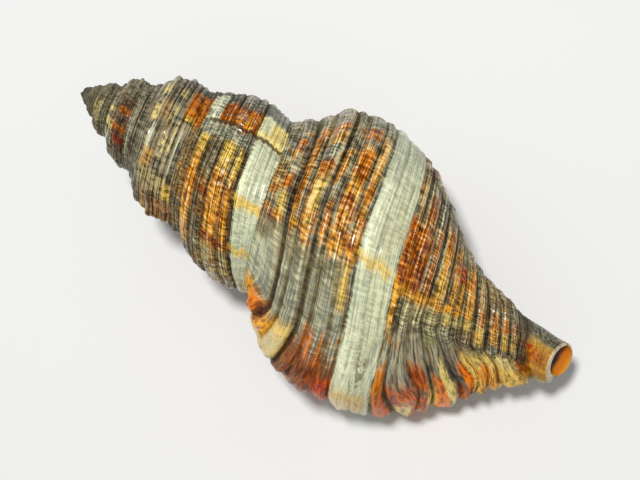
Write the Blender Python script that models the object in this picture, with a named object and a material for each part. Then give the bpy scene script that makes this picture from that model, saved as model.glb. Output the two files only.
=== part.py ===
# Triton shell: the empty shell of a right-handed (dextral) triton sea snail, lying on its aperture.
#
# The shell is one tube that grew in a widening spiral. Its outer surface is a sheet with two coordinates:
#   turn  how far round the coil a place lies, in whole turns; 0 is the finished lip, -1 is one turn earlier
#   line  which spiral line of the growing edge it lies on; 0 is the suture, FULL_LINE is the tip of the canal
# Lengths in the tables are millimetres, measured along the coiling axis from the apex and out from that axis.
# Laid down, +X runs from apex to canal, the lip is on the -Y side and the aperture faces the ground, z = 0.
from math import cos, pi, radians, sin, tau

import bmesh
import bpy
import numpy as np
from mathutils import Matrix, Vector

MM = 0.001

# ---- Driving dimensions ----
SHELL_LENGTH = 119.0        # apex to the end of the siphonal canal
LIP_ANGLE = 210.0           # degrees round the axis from +Y, over the back, to the finished lip
FIRST_TURN = -7.083         # where the first whorl starts, in turns before the lip
TIP_SPREAD = 0.6            # growth of each earlier canal tip along the axis, per turn, as a natural logarithm

# Spire, every half turn: turn, suture distance from the apex, suture radius, shoulder radius
SPIRE = np.array((
    (-7.083, 0.35, 0.55, 0.95),
    (-6.583, 0.80, 0.85, 1.40),
    (-6.083, 1.35, 1.25, 1.95),
    (-5.583, 2.10, 1.70, 2.60),
    (-5.083, 2.95, 2.30, 3.50),
    (-4.583, 4.00, 3.10, 4.70),
    (-4.083, 5.50, 3.90, 6.20),
    (-3.583, 7.40, 4.90, 8.00),
    (-3.083, 10.0, 6.10, 9.70),
    (-2.583, 13.3, 8.20, 13.2),
    (-2.083, 18.4, 9.80, 15.1),
    (-1.583, 25.2, 13.2, 17.3),
    (-1.083, 32.4, 15.1, 21.3),
    (-0.583, 43.3, 16.0, 26.0),
    (-0.083, 53.4, 19.9, 30.3),
    (0.417, 60.6, 23.6, 35.0),
))

# One whorl from the suture over the shoulder to the canal: line, radius as a share of the shoulder radius
WHORL_PROFILE = np.array((
    (0.00, 0.610), (0.06, 0.677), (0.16, 0.756), (0.26, 0.870), (0.35, 0.954), (0.50, 0.985), (0.63, 1.000),
    (0.79, 0.965), (1.00, 0.892), (1.26, 0.692), (1.49, 0.469), (1.72, 0.323), (1.98, 0.242), (2.25, 0.188),
    (2.50, 0.154), (2.64, 0.154),
))
FULL_LINE = 2.64            # the canal tip
COVERED_LINE = 1.0          # where the next whorl is laid on, on the spire
LIP_COVERED_LINE = 0.92     # the same at the lip, which climbs over the whorl before it
CLIMB_START = -0.62         # turn at which that climb begins

# Height of the last whorl from suture to COVERED_LINE
LAST_WHORL_HEIGHT = np.array(((-1.3, 19.5), (-1.0, 22.0), (-0.583, 28.7), (-0.083, 33.1), (0.3, 36.0)))

# Edge of the flared outer lip: line, distance from the apex, outward (-Y), down (-Z)
LIP_EDGE = np.array((
    (0.00, 51.9, 17.9, 10.3), (0.06, 52.8, 21.8, 12.6), (0.16, 55.6, 26.4, 14.9), (0.26, 59.4, 29.0, 16.2),
    (0.35, 62.4, 30.5, 17.0), (0.50, 68.0, 31.7, 17.8), (0.63, 72.5, 32.3, 18.3), (0.79, 77.5, 32.6, 18.9),
    (1.00, 84.5, 31.8, 19.6), (1.26, 91.8, 28.8, 19.7), (1.49, 97.0, 25.2, 18.2), (1.72, 101.4, 20.7, 15.2),
    (1.98, 105.0, 15.6, 11.2), (2.25, 109.3, 10.7, 7.2), (2.50, 114.8, 7.5, 4.3), (2.64, 118.6, 4.7, 2.7),
))
TIP_SLANT = 4.8                 # how much shorter the back of the canal is than its underside, at the tip
TIP_SLANT_START = 2.2           # line where the slant begins
FLARE_START = (-0.175, -0.27)   # turn where the flare begins: behind the shoulder, and down by the canal
FLARE_POWER = 2.6               # how late the flare opens
VARIX_SWELL = 1.3               # swelling where the last varix starts

# Old lips left on the shell as varices: turn, height
VARICES = ((-0.70, 1.5), (-1.42, 1.3), (-2.12, 0.9), (-2.83, 0.5), (-3.53, 0.35))
VARIX_WIDTH = 0.034

# Inside
WALL = 1.7                  # wall of the last whorl
LIP_THICKENING = 1.3        # extra wall inside the outer lip
INNER_GLAZE = 0.7           # callus left on the whorl before, inside the aperture
HOLLOW_TURNS = 2.45         # how far back the hollow is open; the whorls before it are filled in
SLIT_TURNS = 0.22           # how far back the canal slit runs behind the lip
CANAL_BORE = (1.3, 3.9)     # radius of the bore of the canal, inside and at its tip
CANAL_BORE_START = 88.0

# Rest
REST_ROLL = 2.0             # degrees the shell rolls onto its lip from the pose of the tables
REST_PITCH = 4.0            # degrees the canal is lowered
REST_FLAT = 0.45            # depth of the flats worn where the belly and the lip touch the ground

# Facets
STEPS_PER_TURN = 36
SPIRE_ROWS = 7
LAST_ROWS = 26
FACE_COLUMNS = 5
HOLLOW_ROUND = 22
HOLLOW_STEPS_PER_TURN = 24
WELD = 0.00002              # corners closer than this, in metres, are one
SHARP_ANGLE = 50.0          # degrees between facets beyond which an edge is shaded sharp


def blend(start, end, x):
    s = np.clip((x - start) / (end - start), 0.0, 1.0)
    return s * s * (3.0 - 2.0 * s)


def hermite(s, a, b, slope_a, slope_b):
    return ((2 * s**3 - 3 * s**2 + 1) * a + (s**3 - 2 * s**2 + s) * slope_a
            + (3 * s**2 - 2 * s**3) * b + (s**3 - s**2) * slope_b)


def through(x, knots, values):
    """A smooth curve through a table's points."""
    i = np.clip(np.searchsorted(knots, x) - 1, 0, len(knots) - 2)
    slopes = np.gradient(values, knots)
    span = knots[i + 1] - knots[i]
    s = (x - knots[i]) / span
    return hermite(s, values[i], values[i + 1], slopes[i] * span, slopes[i + 1] * span)


def grown(turn, column):
    """A column of SPIRE, which grows by a nearly steady factor each turn."""
    return np.exp(through(turn, SPIRE[:, 0], np.log(SPIRE[:, column])))


def covered_line(turn):
    """The line of the whorl before on which the suture at this turn lies."""
    return COVERED_LINE - (COVERED_LINE - LIP_COVERED_LINE) * blend(CLIMB_START, 0.0, turn)


def regular_whorl(turn, line):
    """Distance from the apex and radius of the shell without lip and varices."""
    earlier = np.minimum(turn, -1.0)
    covered = covered_line(earlier + 1.0)
    suture, shoulder = grown(turn, 1), grown(turn, 3)

    spire_height = (grown(earlier + 1.0, 1) - grown(earlier, 1)) / covered
    last_height = through(np.clip(turn, -1.0, 0.2), LAST_WHORL_HEIGHT[:, 0], LAST_WHORL_HEIGHT[:, 1])
    height = np.where(turn <= -1.0, spire_height, last_height)
    tip = SHELL_LENGTH * np.exp(TIP_SPREAD * np.minimum(turn + 1.0, 0.0))
    base_lines = FULL_LINE - 1.0
    base_slope = (tip - suture - height) / base_lines
    s = np.clip((line - 1.0) / base_lines, 0.0, 1.0)
    base = hermite(s, suture + height, tip, base_lines * height, base_lines * (1.5 * base_slope - 0.5 * height))
    distance = np.where(line <= 1.0, suture + line * height, base)

    profile = through(line, WHORL_PROFILE[:, 0], WHORL_PROFILE[:, 1])
    foot = through(covered, WHORL_PROFILE[:, 0], WHORL_PROFILE[:, 1])
    at_suture = grown(turn, 2) - shoulder * WHORL_PROFILE[0, 1]
    at_foot = grown(earlier + 1.0, 2) - grown(earlier, 3) * foot
    share = line / covered
    foot_share = np.where(share <= 1.0, blend(0.3, 1.0, share), 1.0 - blend(covered, covered + 0.5, line))
    foot_share = foot_share * (1.0 - blend(-1.0, -0.7, turn))
    radius = shoulder * profile + at_suture * (1.0 - blend(0.0, 0.4, line)) + at_foot * foot_share
    return distance, radius


def lip_edge(line):
    """Distance, radius and angle of the lip's edge."""
    distance, out, down = (through(line, LIP_EDGE[:, 0], LIP_EDGE[:, k]) for k in (1, 2, 3))
    return distance, np.hypot(out, down), pi + np.arctan2(down, out)


def old_lips(turn):
    """Height of the old lips, steep on the side of growth."""
    height = 0.0 * turn
    for at, tall in VARICES:
        behind = np.clip((at - turn) / VARIX_WIDTH, 0.0, 1.0)
        ahead = np.clip((turn - at) / (0.3 * VARIX_WIDTH), 0.0, 1.0)
        height = height + tall * np.where(turn <= at, np.cos(behind * pi / 2) ** 2, 1.0 - ahead)
    return height


def varix_height(turn, line):
    """Old lips, and at the suture the old lip of the whorl before, which this one is laid over."""
    own = blend(0.0, 0.15, line) * (1.0 - blend(1.2, 2.0, line))
    return old_lips(turn) * own + old_lips(turn - 1.0) * (1.0 - blend(0.0, 0.15, line))


def shell_point(turn, line):
    """Distance, radius and angle of a place on the outside of the shell."""
    turn, line = np.broadcast_arrays(np.asarray(turn, float), np.asarray(line, float))
    distance, radius = regular_whorl(turn, line)
    radius = radius + varix_height(turn, line)
    angle = radians(LIP_ANGLE) + tau * turn

    edge_distance, edge_radius, edge_angle = lip_edge(line)
    plain_distance, plain_radius = regular_whorl(0.0 * turn, line)
    start = FLARE_START[0] + (FLARE_START[1] - FLARE_START[0]) * blend(0.5, 1.3, line)
    opened = np.clip(1.0 - turn / start, 0.0, 1.0)
    flare = opened ** FLARE_POWER * np.clip(line / LIP_EDGE[1, 0], 0.0, 1.0)
    swell = VARIX_SWELL * np.sin(pi * np.clip(opened / 0.75, 0.0, 1.0)) ** 2 * blend(0.0, 0.1, line)
    swell = swell * (1.0 - blend(1.2, 1.8, line))
    distance = distance + (edge_distance - plain_distance) * flare
    radius = radius + (edge_radius - plain_radius) * flare + swell
    angle = angle + (edge_angle - radians(LIP_ANGLE)) * flare
    distance = distance - TIP_SLANT * blend(TIP_SLANT_START, FULL_LINE, line) * (1.0 + np.sin(angle)) / 2.0
    return distance, radius, angle


def place(distance, radius, angle):
    return np.stack((distance, radius * np.cos(angle), radius * np.sin(angle)), axis=-1) * MM


def offset_point(turn, line, depth):
    """A place below (depth > 0) or above the outside, measured square to the growing edge."""
    step = 0.004
    x0, r0, _ = shell_point(turn, line - step)
    x1, r1, _ = shell_point(turn, line + step)
    length = np.hypot(x1 - x0, r1 - r0)
    distance, radius, angle = shell_point(turn, line)
    return distance + depth * (r1 - r0) / length, radius - depth * (x1 - x0) / length, angle


def sheet(bm, across, along, shape):
    """A flat grid whose corners (0..1, 0..1) are carried to shape(a, b)."""
    made = bmesh.ops.create_grid(bm, x_segments=across, y_segments=along, size=1.0)["verts"]
    flat = np.array([v.co for v in made])
    points = shape(0.5 + 0.5 * flat[:, 0], 0.5 + 0.5 * flat[:, 1])
    for vert, point in zip(made, points):
        vert.co = point


def close_holes(bm):
    """Cap every open edge loop."""
    edges = [e for e in bm.edges if e.is_boundary]
    return bmesh.ops.holes_fill(bm, edges=edges, sides=0)["faces"]


def finish_mesh(bm, name):
    bmesh.ops.recalc_face_normals(bm, faces=bm.faces)
    mesh = bpy.data.meshes.new(name)
    bm.to_mesh(mesh)
    bm.free()
    mesh.shade_smooth()
    mesh.set_sharp_from_angle(angle=radians(SHARP_ANGLE))
    return bpy.data.objects.new(name, mesh)


def lay_down(bm):
    """Roll and pitch a finished outside into its pose of rest, over the origin; returns the whole move."""
    pose = Matrix.Rotation(radians(REST_PITCH), 4, "Y") @ Matrix.Rotation(radians(REST_ROLL), 4, "X")
    bm.transform(pose)
    corners = np.array([v.co for v in bm.verts])
    low, high = corners.min(axis=0), corners.max(axis=0)
    middle = (low + high) / 2
    shift = Matrix.Translation((-middle[0], -middle[1], -low[2] - REST_FLAT * MM))
    bm.transform(shift)
    return shift @ pose


def wear_flats(bm):
    """Take off what lies below the ground and close the flats."""
    everything = bm.verts[:] + bm.edges[:] + bm.faces[:]
    bmesh.ops.bisect_plane(bm, geom=everything, plane_co=(0, 0, 0), plane_no=(0, 0, 1), clear_inner=True)
    close_holes(bm)


def line_rows(share):
    """Rows of the last whorl: the first part is the height that the spire also shows."""
    split = SPIRE_ROWS / LAST_ROWS
    low = share / split * LIP_COVERED_LINE
    high = LIP_COVERED_LINE + (share - split) / (1.0 - split) * (FULL_LINE - LIP_COVERED_LINE)
    return np.where(share <= split, low, high)


def spire_sheet(a, b):
    turn = FIRST_TURN + a * (-1.0 - FIRST_TURN)
    return place(*shell_point(turn, b * covered_line(turn + 1.0)))


def last_whorl_sheet(a, b):
    return place(*shell_point(a - 1.0, line_rows(b)))


def aperture_sheet(a, b):
    line = line_rows(b)
    outer = place(*shell_point(0.0, line))
    inner = place(*shell_point(-1.0, np.maximum(line, LIP_COVERED_LINE)))
    return outer + (inner - outer) * a[:, None]


def make_outside():
    bm = bmesh.new()
    spire_steps = round((-1.0 - FIRST_TURN) * STEPS_PER_TURN)
    sheet(bm, spire_steps, SPIRE_ROWS, spire_sheet)
    sheet(bm, STEPS_PER_TURN, LAST_ROWS, last_whorl_sheet)
    sheet(bm, FACE_COLUMNS, LAST_ROWS, aperture_sheet)
    bmesh.ops.remove_doubles(bm, verts=bm.verts, dist=WELD)
    bmesh.ops.poke(bm, faces=close_holes(bm))
    move = lay_down(bm)
    wear_flats(bm)
    bmesh.ops.triangulate(bm, faces=bm.faces)
    return finish_mesh(bm, "shell"), move


def hollow_sheet(a, b):
    """The hollow tube: a goes round its section, b from just outside the lip back into the shell."""
    back = -0.012 + b * (HOLLOW_TURNS + 0.012)
    around = np.round(a * HOLLOW_ROUND) % HOLLOW_ROUND
    half = HOLLOW_ROUND // 2
    slit = 1.0 - blend(0.0, SLIT_TURNS, back)
    size = grown(-back, 3) / grown(0.0, 3)
    wall = WALL * size + LIP_THICKENING * np.exp(-((back - 0.06) / 0.04) ** 2)

    outer_share = np.clip(around / (half - 1), 0.0, 1.0)
    outer_line = 0.16 + outer_share * (1.34 + 0.98 * slit)
    outer = offset_point(np.minimum(-back, 0.0), outer_line, wall)

    inner_share = np.clip((around - half) / (half - 1), 0.0, 1.0)
    inner_start, inner_end = 2.05 + 0.43 * slit, covered_line(-back) + 0.14
    inner_line = inner_start + inner_share * (inner_end - inner_start)
    inner = offset_point(-1.0 - back, inner_line, -INNER_GLAZE * size)
    canal_core = blend(1.7, 2.1, inner_line) * slit
    inner_radius = inner[1] + (1.0 - inner[1]) * canal_core

    on_outer = around < half
    distance = np.where(on_outer, outer[0], inner[0])
    radius = np.maximum(np.where(on_outer, outer[1], inner_radius), 0.6)
    angle = np.where(on_outer, outer[2] + tau * np.maximum(-back, 0.0), radians(LIP_ANGLE) - tau * back)
    return place(distance, radius, angle)


def make_hollow(move):
    bm = bmesh.new()
    steps = round(HOLLOW_TURNS * HOLLOW_STEPS_PER_TURN)
    sheet(bm, HOLLOW_ROUND, steps, hollow_sheet)
    bmesh.ops.remove_doubles(bm, verts=bm.verts, dist=WELD)
    bmesh.ops.poke(bm, faces=close_holes(bm))
    bm.transform(move)
    return finish_mesh(bm, "hollow")


def make_canal_bore(move):
    length = SHELL_LENGTH - CANAL_BORE_START + 4.0
    bm = bmesh.new()
    turned = Matrix.Rotation(pi / 2, 4, "Y")
    centre = Matrix.Translation(Vector((CANAL_BORE_START + length / 2, 0.0, 0.0)) * MM)
    bmesh.ops.create_cone(bm, cap_ends=True, segments=20, radius1=CANAL_BORE[0] * MM,
                          radius2=CANAL_BORE[1] * MM, depth=length * MM, matrix=move @ centre @ turned)
    return finish_mesh(bm, "canal_bore")


def material():
    mat = bpy.data.materials.new("shell")
    mat.use_nodes = True
    surface = mat.node_tree.nodes["Principled BSDF"]
    surface.inputs["Base Color"].default_value = (0.42, 0.26, 0.13, 1.0)
    surface.inputs["Roughness"].default_value = 0.35
    return mat


for old in list(bpy.data.objects):
    bpy.data.objects.remove(old, do_unlink=True)
parts = bpy.data.collections.new("triton_shell")
cutters = bpy.data.collections.new("cutters")
for collection in (parts, cutters):
    bpy.context.scene.collection.children.link(collection)

shell, laid = make_outside()
shell.data.materials.append(material())
parts.objects.link(shell)
for cutter in (make_hollow(laid), make_canal_bore(laid)):
    cutter.hide_render = True
    cutter.display_type = "WIRE"
    cutters.objects.link(cutter)
    cut = shell.modifiers.new(cutter.name, "BOOLEAN")
    cut.object = cutter
    cut.operation = "DIFFERENCE"
    cut.solver = "EXACT"
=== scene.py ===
from math import cos, pi, radians, sin, tau

import bmesh
import bpy
import numpy as np
from mathutils import Matrix, Vector


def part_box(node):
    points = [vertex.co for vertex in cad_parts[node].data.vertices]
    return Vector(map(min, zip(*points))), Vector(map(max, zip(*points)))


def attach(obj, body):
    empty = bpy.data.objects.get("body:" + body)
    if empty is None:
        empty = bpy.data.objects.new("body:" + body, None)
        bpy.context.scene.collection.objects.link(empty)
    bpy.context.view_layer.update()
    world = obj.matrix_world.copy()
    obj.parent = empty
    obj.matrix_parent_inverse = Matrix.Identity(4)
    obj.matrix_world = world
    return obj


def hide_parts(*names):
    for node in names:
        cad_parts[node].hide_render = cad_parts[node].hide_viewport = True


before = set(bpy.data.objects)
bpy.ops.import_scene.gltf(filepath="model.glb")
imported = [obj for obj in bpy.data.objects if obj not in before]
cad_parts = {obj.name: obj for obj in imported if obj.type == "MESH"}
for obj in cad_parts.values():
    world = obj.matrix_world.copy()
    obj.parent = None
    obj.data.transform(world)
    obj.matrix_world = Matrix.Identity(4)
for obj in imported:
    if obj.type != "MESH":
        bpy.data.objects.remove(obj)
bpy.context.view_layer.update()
mm = 0.001

# How the shell grew. turn counts whole turns back from the finished lip (0) to the first whorl.
# line runs over one whorl: 0 at the suture, fullLine at the tip of the canal.
# Lengths are millimetres along the coiling axis from the apex, and out from that axis.
growth = {
    "shellLength": 119.0,
    "lipAngle": 210.0,               # degrees round the axis from +Y, over the back
    "firstTurn": -85 / 12,
    "tipSpread": 0.6,
    # turn, suture distance from the apex, suture radius, shoulder radius
    "spire": np.array((
        (-7.083, 0.35, 0.55, 0.95), (-6.583, 0.80, 0.85, 1.40), (-6.083, 1.35, 1.25, 1.95),
        (-5.583, 2.10, 1.70, 2.60), (-5.083, 2.95, 2.30, 3.50), (-4.583, 4.00, 3.10, 4.70),
        (-4.083, 5.50, 3.90, 6.20), (-3.583, 7.40, 4.90, 8.00), (-3.083, 10.0, 6.10, 9.70),
        (-2.583, 13.3, 8.20, 13.2), (-2.083, 18.4, 9.80, 15.1), (-1.583, 25.2, 13.2, 17.3),
        (-1.083, 32.4, 15.1, 21.3), (-0.583, 43.3, 16.0, 26.0), (-0.083, 53.4, 19.9, 30.3),
        (0.417, 60.6, 23.6, 35.0),
    )),
    # line, radius as a share of the shoulder radius
    "profile": np.array((
        (0.00, 0.610), (0.06, 0.677), (0.16, 0.756), (0.26, 0.870), (0.35, 0.954), (0.50, 0.985),
        (0.63, 1.000), (0.79, 0.965), (1.00, 0.892), (1.26, 0.692), (1.49, 0.469), (1.72, 0.323),
        (1.98, 0.242), (2.25, 0.188), (2.50, 0.154), (2.64, 0.154),
    )),
    "fullLine": 2.64,
    "coveredLine": 1.0,              # where the next whorl is laid on
    "lipCoveredLine": 0.92,          # the same at the lip
    "climbStart": -0.62,
    "lastHeight": np.array(((-1.3, 19.5), (-1.0, 22.0), (-0.583, 28.7), (-0.083, 33.1), (0.3, 36.0))),
    "tipSlant": 4.8,                 # how much shorter the back of the canal's tip is than its underside
    "tipSlantStart": 2.2,
}

# The flared outer lip
lip = {
    # line, distance from the apex, outward (-Y), down (-Z)
    "edge": np.array((
        (0.00, 51.9, 17.9, 10.3), (0.06, 52.8, 21.8, 12.6), (0.16, 55.6, 26.4, 14.9),
        (0.26, 59.4, 29.0, 16.2), (0.35, 62.4, 30.5, 17.0), (0.50, 68.0, 31.7, 17.8),
        (0.63, 72.5, 32.3, 18.3), (0.79, 77.5, 32.6, 18.9), (1.00, 84.5, 31.8, 19.6),
        (1.26, 91.8, 28.8, 19.7), (1.49, 97.0, 25.2, 18.2), (1.72, 101.4, 20.7, 15.2),
        (1.98, 105.0, 15.6, 11.2), (2.25, 109.3, 10.7, 7.2), (2.50, 114.8, 7.5, 4.3),
        (2.64, 118.6, 4.7, 2.7),
    )),
    "flareStart": (-0.175, -0.27),
    "flarePower": 2.6,
    "varixSwell": 1.3,
    "rimRadius": 1.0,
    "scallop": 0.5,                  # how far the cords stand out of the edge, in mm
    # where the fan of cords begins, by line, and which cord reaches each line of the edge
    "kink": np.array((
        (0.85, -0.205), (0.98, -0.275), (1.3, -0.272), (1.5, -0.25), (1.8, -0.21), (2.1, -0.2),
    )),
    "fan": np.array((
        (0.00, 0.00), (0.05, 0.17), (0.10, 0.27), (0.215, 0.40), (0.345, 0.515), (0.49, 0.565),
        (0.68, 0.60), (0.79, 0.67), (0.95, 0.80), (1.05, 0.93), (1.12, 0.97), (1.19, 0.995),
        (1.35, 1.045), (1.44, 1.15), (1.54, 1.215), (1.63, 1.25), (1.74, 1.30), (1.98, 1.44),
        (2.26, 1.69), (2.40, 1.80), (2.52, 2.10), (2.64, 2.64),
    )),
}

# Old lips left on the shell: turn, height
varices = {
    "at": ((-0.70, 1.5), (-1.42, 1.3), (-2.12, 0.9), (-2.83, 0.5), (-3.53, 0.35)),
    "width": 0.034,
    "steepness": 0.3,                # how much shorter the side of growth is
}

# Spiral cords: place on the cord scale, half width, height
cords = {
    "last": np.array((
        (0.03, 0.026, 0.7), (0.10, 0.036, 0.85), (0.205, 0.028, 0.75), (0.31, 0.052, 1.0),
        (0.43, 0.027, 0.7), (0.535, 0.055, 1.0), (0.64, 0.035, 0.85), (0.75, 0.050, 1.0),
        (0.835, 0.026, 0.7), (0.88, 0.026, 0.75), (0.93, 0.026, 0.7), (0.995, 0.026, 0.8),
        (1.09, 0.040, 1.0), (1.19, 0.030, 0.85), (1.295, 0.042, 1.0), (1.40, 0.031, 0.85),
        (1.467, 0.018, 0.55), (1.55, 0.040, 1.0), (1.67, 0.036, 0.95), (1.80, 0.042, 1.0),
        (1.905, 0.034, 0.95), (2.005, 0.032, 0.9), (2.095, 0.028, 0.25),
    )),
    "before": np.array((
        (0.03, 0.026, 0.6), (0.10, 0.032, 0.7), (0.165, 0.018, 0.5), (0.245, 0.046, 1.0),
        (0.335, 0.022, 0.5), (0.385, 0.022, 0.6), (0.50, 0.060, 1.0), (0.615, 0.034, 0.9),
        (0.735, 0.042, 1.0), (0.805, 0.026, 0.85), (0.865, 0.026, 0.8), (0.93, 0.030, 0.85),
        (0.99, 0.024, 0.7), (1.09, 0.040, 1.0), (1.19, 0.030, 0.85),
    )),
    "early": np.array((
        (0.03, 0.025, 0.6), (0.11, 0.035, 0.7), (0.22, 0.040, 0.7), (0.36, 0.065, 1.0),
        (0.50, 0.040, 0.65), (0.64, 0.058, 1.0), (0.79, 0.036, 0.7), (0.91, 0.040, 0.85),
        (0.99, 0.020, 0.5),
    )),
    "depth": 0.95,                   # depth of the grooves on the last whorl, in mm
    "drift": ((-3.1, -2.7, -1.3, -0.5), (0.13, 0.0, 0.1, 0.0)),         # turns, shift of the upper cords
    "lowered": ((-1.32, -1.2, -1.12, -0.95), (0.0, 0.12, 0.2, 0.0)),    # turns, share of the line
    "slid": 0.1,                     # shift of the cords as they near the lip
    "knobEvery": 0.08,               # turns
    "knobHeight": 0.18,              # mm, and what the early whorls add to it
    "earlyKnobs": 0.62,
    "threadEvery": 0.0355,           # fine threads, on the cord scale
    "threadHeight": 0.11,            # mm
    "lipFoldEvery": 0.05,            # fine folds on the lip, on the cord scale
    "beadEvery": (0.027, 0.0173),    # two rows of beads laid over each other, in turns
    "beadHeight": 0.18,              # mm
    "beadShade": 0.35,
    "smoothFrom": (2.1, 2.45),       # where the cords die out on the canal
}

pose = {"roll": 2.0, "pitch": 4.0}

mesh = {
    "turnSteps": 240,                # per turn on the last two whorls
    "sutureRows": 72,                # rows over the part of a whorl that the spire also shows
    "baseRows": 130,
    "faceColumns": 10,
    "weld": 0.000002,
}


def blend(start, end, x):
    s = np.clip((x - start) / (end - start), 0.0, 1.0)
    return s * s * (3.0 - 2.0 * s)


def hermite(s, a, b, slopeA, slopeB):
    return ((2 * s**3 - 3 * s**2 + 1) * a + (s**3 - 2 * s**2 + s) * slopeA
            + (3 * s**2 - 2 * s**3) * b + (s**3 - s**2) * slopeB)


def through(x, knots, values):
    i = np.clip(np.searchsorted(knots, x) - 1, 0, len(knots) - 2)
    slopes = np.gradient(values, knots)
    span = knots[i + 1] - knots[i]
    s = (x - knots[i]) / span
    return hermite(s, values[i], values[i + 1], slopes[i] * span, slopes[i + 1] * span)


def grown(turn, column):
    spire = growth["spire"]
    return np.exp(through(turn, spire[:, 0], np.log(spire[:, column])))


def coveredLine(turn):
    climbed = blend(growth["climbStart"], 0.0, turn)
    return growth["coveredLine"] - (growth["coveredLine"] - growth["lipCoveredLine"]) * climbed


def regularWhorl(turn, line):
    earlier = np.minimum(turn, -1.0)
    covered = coveredLine(earlier + 1.0)
    suture, shoulder = grown(turn, 1), grown(turn, 3)

    spireHeight = (grown(earlier + 1.0, 1) - grown(earlier, 1)) / covered
    lastHeight = through(np.clip(turn, -1.0, 0.2), growth["lastHeight"][:, 0], growth["lastHeight"][:, 1])
    height = np.where(turn <= -1.0, spireHeight, lastHeight)
    tip = growth["shellLength"] * np.exp(growth["tipSpread"] * np.minimum(turn + 1.0, 0.0))
    baseLines = growth["fullLine"] - 1.0
    baseSlope = (tip - suture - height) / baseLines
    s = np.clip((line - 1.0) / baseLines, 0.0, 1.0)
    tipSlope = baseLines * (1.5 * baseSlope - 0.5 * height)
    base = hermite(s, suture + height, tip, baseLines * height, tipSlope)
    distance = np.where(line <= 1.0, suture + line * height, base)

    lines, shares = growth["profile"][:, 0], growth["profile"][:, 1]
    profile = through(line, lines, shares)
    foot = through(covered, lines, shares)
    atSuture = grown(turn, 2) - shoulder * shares[0]
    atFoot = grown(earlier + 1.0, 2) - grown(earlier, 3) * foot
    share = line / covered
    footShare = np.where(share <= 1.0, blend(0.3, 1.0, share), 1.0 - blend(covered, covered + 0.5, line))
    footShare = footShare * (1.0 - blend(-1.0, -0.7, turn))
    radius = shoulder * profile + atSuture * (1.0 - blend(0.0, 0.4, line)) + atFoot * footShare
    return distance, radius


def lipEdge(line):
    edge = lip["edge"]
    distance, out, down = (through(line, edge[:, 0], edge[:, k]) for k in (1, 2, 3))
    return distance, np.hypot(out, down), pi + np.arctan2(down, out)


def oldLips(turn):
    height = 0.0 * turn
    for at, tall in varices["at"]:
        behind = np.clip((at - turn) / varices["width"], 0.0, 1.0)
        ahead = np.clip((turn - at) / (varices["steepness"] * varices["width"]), 0.0, 1.0)
        height = height + tall * np.where(turn <= at, np.cos(behind * pi / 2) ** 2, 1.0 - ahead)
    return height


def varixHeight(turn, line):
    own = blend(0.0, 0.15, line) * (1.0 - blend(1.2, 2.0, line))
    return oldLips(turn) * own + oldLips(turn - 1.0) * (1.0 - blend(0.0, 0.15, line))


def shellPoint(turn, line):
    turn, line = np.broadcast_arrays(np.asarray(turn, float), np.asarray(line, float))
    distance, radius = regularWhorl(turn, line)
    radius = radius + varixHeight(turn, line)
    angle = radians(growth["lipAngle"]) + tau * turn

    edgeDistance, edgeRadius, edgeAngle = lipEdge(line)
    plainDistance, plainRadius = regularWhorl(0.0 * turn, line)
    first, last = lip["flareStart"]
    start = first + (last - first) * blend(0.5, 1.3, line)
    opened = np.clip(1.0 - turn / start, 0.0, 1.0)
    flare = opened ** lip["flarePower"] * np.clip(line / lip["edge"][1, 0], 0.0, 1.0)
    swell = lip["varixSwell"] * np.sin(pi * np.clip(opened / 0.75, 0.0, 1.0)) ** 2 * blend(0.0, 0.1, line)
    swell = swell * (1.0 - blend(1.2, 1.8, line))
    distance = distance + (edgeDistance - plainDistance) * flare
    radius = radius + (edgeRadius - plainRadius) * flare + swell
    angle = angle + (edgeAngle - radians(growth["lipAngle"])) * flare
    slant = blend(growth["tipSlantStart"], growth["fullLine"], line) * (1.0 + np.sin(angle)) / 2.0
    distance = distance - growth["tipSlant"] * slant
    return distance, radius, angle


def place(distance, radius, angle):
    return np.stack((distance, radius * np.cos(angle), radius * np.sin(angle)), axis=-1) * mm


def offsetPoint(turn, line, depth):
    step = 0.004
    x0, r0, _ = shellPoint(turn, line - step)
    x1, r1, _ = shellPoint(turn, line + step)
    length = np.hypot(x1 - x0, r1 - r0)
    distance, radius, angle = shellPoint(turn, line)
    return distance + depth * (r1 - r0) / length, radius - depth * (x1 - x0) / length, angle


def fanned(turn, line):
    kink = np.interp(line, lip["kink"][:, 0], lip["kink"][:, 1])
    early = 0.8 * blend(0.85, 1.1, line) * (1.0 - blend(1.7, 2.0, line))
    return 1.0 - (1.0 - np.clip((turn - kink) / -kink, 0.0, 1.0)) ** (1.0 + early)


def cordPlace(turn, line):
    # cords keep their place on this scale, though the lines they follow drift and fan out at the lip
    lipCord = np.interp(line, lip["fan"][:, 0], lip["fan"][:, 1])
    drift = np.interp(turn, *cords["drift"])
    place = line + drift * np.clip(1.0 - line / 0.72, 0.0, 1.0) * np.clip(line / 0.08, 0.0, 1.0)
    slid = cords["slid"] * blend(-0.37, -0.22, turn) * blend(0.0, 0.25, line)
    place = place - slid * (1.0 - blend(0.9, 1.2, line))
    lowered = np.interp(turn, *cords["lowered"])
    place = place - lowered * line * (1.0 - blend(0.78, 1.0, line))
    return place + (lipCord - place) * fanned(turn, line)


def ridges(place, table):
    crest = 0.0 * place
    for at, half, tall in table:
        x = np.clip(np.abs(place - at) / (half * 1.4), 0.0, 1.0)
        crest = np.maximum(crest, tall * (1.0 - x ** 2.5) ** 1.3)
    return crest


def cordCrest(turn, place):
    early = 1.0 - blend(-2.0, -1.8, turn)
    last = blend(-1.1, -0.95, turn)
    return (ridges(place, cords["last"]) * last + ridges(place, cords["early"]) * early
            + ridges(place, cords["before"]) * (1.0 - last - early))


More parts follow.
